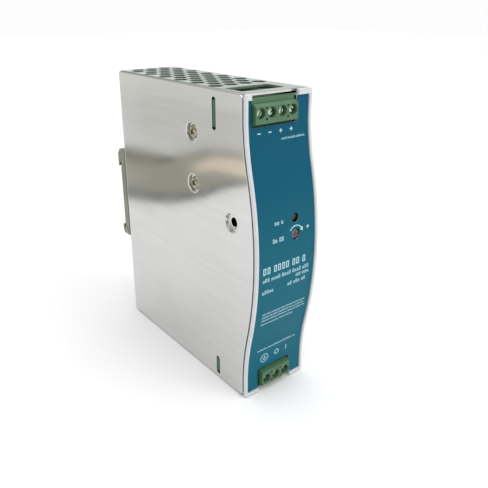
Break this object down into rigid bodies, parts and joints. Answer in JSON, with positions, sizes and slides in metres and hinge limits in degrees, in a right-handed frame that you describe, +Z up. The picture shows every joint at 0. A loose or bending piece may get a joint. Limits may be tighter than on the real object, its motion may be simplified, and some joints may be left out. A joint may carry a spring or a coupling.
{
  "type": "din rail power supply",
  "caption": "Slim metal-cased rail-mount power supply with a wavy front bezel, screw terminals top and bottom, a status lamp and trimmer, and a sprung clip at the back.",
  "frame": {"origin": "middle of the base of the whole object's box", "axes": "+Z up, +Y towards the rail at the back, -Y towards the front face, +X to the right seen from the front"},
  "size_m": [0.032, 0.109, 0.1252],
  "materials": {
    "case_metal": "bright rolled aluminium sheet with a soft blurred sheen",
    "bezel_plastic": "light grey moulded plastic",
    "label_film": null,
    "terminal_plastic": "green moulded terminal plastic",
    "plated_steel": "zinc-plated steel",
    "contact_brass": "tinned brass contact",
    "circuit_board": "green glass-epoxy board",
    "clip_steel": "grey-beige finished pressed and cast metal",
    "spring_steel": "drawn spring wire",
    "lamp_lens": "unlit green-tinted lens",
    "light_pipe": "clear moulded light guide",
    "trimmer_plastic": "blue moulded trimmer body",
    "rotor_plastic": "pinkish grey moulded rotor",
    "insulation_film": "cream insulating film",
    "heatsink_metal": "extruded aluminium",
    "black_epoxy": "black moulding compound",
    "ferrite": "dark sintered ferrite",
    "winding_tape": "yellow polyester tape over copper",
    "copper_winding": "enamelled copper wire",
    "capacitor_sleeve": "dark blue shrink sleeve",
    "film_capacitor": "yellow potted box",
    "fuse_ceramic": "white ceramic tube",
    "thermistor": "green coated disc",
    "guide_plastic": "black moulded nylon"
  },
  "bodies": {
    "case": {"left_cover": "case_metal", "right_cover": "case_metal", "front_bezel": "bezel_plastic", "front_label": "label_film", "output_terminal_block": "terminal_plastic", "input_terminal_block": "terminal_plastic", "main_board": "circuit_board", "front_board": "circuit_board", "status_led": "lamp_lens", "led_light_pipe": "light_pipe", "trimmer_riser": "guide_plastic", "voltage_trimmer_body": "trimmer_plastic", "output_heatsink": "heatsink_metal", "switch_heatsink": "heatsink_metal", "output_rectifier": "black_epoxy", "switching_transistor": "black_epoxy", "output_heatsink_screw": "plated_steel", "switch_heatsink_screw": "plated_steel", "transformer_core": "ferrite", "transformer_winding": "winding_tape", "bulk_capacitor": "capacitor_sleeve", "output_capacitor_1": "capacitor_sleeve", "output_capacitor_2": "capacitor_sleeve", "suppression_capacitor": "film_capacitor", "common_mode_choke": "copper_winding", "output_inductor": "copper_winding", "bridge_rectifier": "black_epoxy", "input_fuse": "fuse_ceramic", "inrush_thermistor": "thermistor", "controller_chip": "black_epoxy", "insulation_sheet": "insulation_film", "board_edge_guide": "guide_plastic", "rail_bracket": "clip_steel", "latch_spring": "spring_steel", "latch_guide_rivet": "plated_steel", "bracket_rivet_1": "plated_steel", "bracket_rivet_2": "plated_steel", "output_contact_bar_1": "contact_brass", "output_contact_bar_2": "contact_brass", "output_contact_bar_3": "contact_brass", "output_contact_bar_4": "contact_brass", "input_contact_bar_1": "contact_brass", "input_contact_bar_2": "contact_brass", "input_contact_bar_3": "contact_brass"},
    "latch": {"rail_latch": "clip_steel"},
    "trimmer_rotor": {"voltage_trimmer_rotor": "rotor_plastic"},
    "output_screw_1": {"output_terminal_screw_1": "plated_steel"},
    "output_cage_1": {"output_clamp_cage_1": "plated_steel"},
    "output_screw_2": {"output_terminal_screw_2": "plated_steel"},
    "output_cage_2": {"output_clamp_cage_2": "plated_steel"},
    "output_screw_3": {"output_terminal_screw_3": "plated_steel"},
    "output_cage_3": {"output_clamp_cage_3": "plated_steel"},
    "output_screw_4": {"output_terminal_screw_4": "plated_steel"},
    "output_cage_4": {"output_clamp_cage_4": "plated_steel"},
    "input_screw_1": {"input_terminal_screw_1": "plated_steel"},
    "input_cage_1": {"input_clamp_cage_1": "plated_steel"},
    "input_screw_2": {"input_terminal_screw_2": "plated_steel"},
    "input_cage_2": {"input_clamp_cage_2": "plated_steel"},
    "input_screw_3": {"input_terminal_screw_3": "plated_steel"},
    "input_cage_3": {"input_clamp_cage_3": "plated_steel"}
  },
  "joints": [
    {"name": "latch_slide", "type": "slide", "parent": "case", "child": "latch", "axis": [0, 0, -1], "range_m": [0, 0.0035], "stiffness_N_per_m": 4000, "springref_m": -0.003, "deforming": ["latch_spring"]},
    {"name": "trimmer_turn", "type": "hinge", "parent": "case", "child": "trimmer_rotor", "pos_m": [0.0044, -0.052, 0.0706], "axis": [0, 1, 0], "range_deg": [-135, 135]},
    {"name": "output_screw_turn_1", "type": "hinge", "parent": "case", "child": "output_screw_1", "pos_m": [-0.00977, -0.0475, 0.1182], "axis": [0, 1, 0], "range_deg": [0, 2520]},
    {"name": "output_cage_slide_1", "type": "slide", "parent": "case", "child": "output_cage_1", "axis": [0, -1, 0], "range_m": [0, 0.0035]},
    {"name": "output_screw_turn_2", "type": "hinge", "parent": "case", "child": "output_screw_2", "pos_m": [-0.00469, -0.0475, 0.1182], "axis": [0, 1, 0], "range_deg": [0, 2520]},
    {"name": "output_cage_slide_2", "type": "slide", "parent": "case", "child": "output_cage_2", "axis": [0, -1, 0], "range_m": [0, 0.0035]},
    {"name": "output_screw_turn_3", "type": "hinge", "parent": "case", "child": "output_screw_3", "pos_m": [0.00039, -0.0475, 0.1182], "axis": [0, 1, 0], "range_deg": [0, 2520]},
    {"name": "output_cage_slide_3", "type": "slide", "parent": "case", "child": "output_cage_3", "axis": [0, -1, 0], "range_m": [0, 0.0035]},
    {"name": "output_screw_turn_4", "type": "hinge", "parent": "case", "child": "output_screw_4", "pos_m": [0.00547, -0.0475, 0.1182], "axis": [0, 1, 0], "range_deg": [0, 2520]},
    {"name": "output_cage_slide_4", "type": "slide", "parent": "case", "child": "output_cage_4", "axis": [0, -1, 0], "range_m": [0, 0.0035]},
    {"name": "input_screw_turn_1", "type": "hinge", "parent": "case", "child": "input_screw_1", "pos_m": [0.00488, -0.0475, 0.0058], "axis": [0, 1, 0], "range_deg": [0, 2520]},
    {"name": "input_cage_slide_1", "type": "slide", "parent": "case", "child": "input_cage_1", "axis": [0, -1, 0], "range_m": [0, 0.0035]},
    {"name": "input_screw_turn_2", "type": "hinge", "parent": "case", "child": "input_screw_2", "pos_m": [-0.0002, -0.0475, 0.0058], "axis": [0, 1, 0], "range_deg": [0, 2520]},
    {"name": "input_cage_slide_2", "type": "slide", "parent": "case", "child": "input_cage_2", "axis": [0, -1, 0], "range_m": [0, 0.0035]},
    {"name": "input_screw_turn_3", "type": "hinge", "parent": "case", "child": "input_screw_3", "pos_m": [-0.00528, -0.0475, 0.0058], "axis": [0, 1, 0], "range_deg": [0, 2520]},
    {"name": "input_cage_slide_3", "type": "slide", "parent": "case", "child": "input_cage_3", "axis": [0, -1, 0], "range_m": [0, 0.0035]}
  ],
  "couplings": [
    {"joint": "output_screw_turn_1", "follows": "output_cage_slide_1", "rad_per_m": 12566},
    {"joint": "output_screw_turn_2", "follows": "output_cage_slide_2", "rad_per_m": 12566},
    {"joint": "output_screw_turn_3", "follows": "output_cage_slide_3", "rad_per_m": 12566},
    {"joint": "output_screw_turn_4", "follows": "output_cage_slide_4", "rad_per_m": 12566},
    {"joint": "input_screw_turn_1", "follows": "input_cage_slide_1", "rad_per_m": 12566},
    {"joint": "input_screw_turn_2", "follows": "input_cage_slide_2", "rad_per_m": 12566},
    {"joint": "input_screw_turn_3", "follows": "input_cage_slide_3", "rad_per_m": 12566}
  ]
}
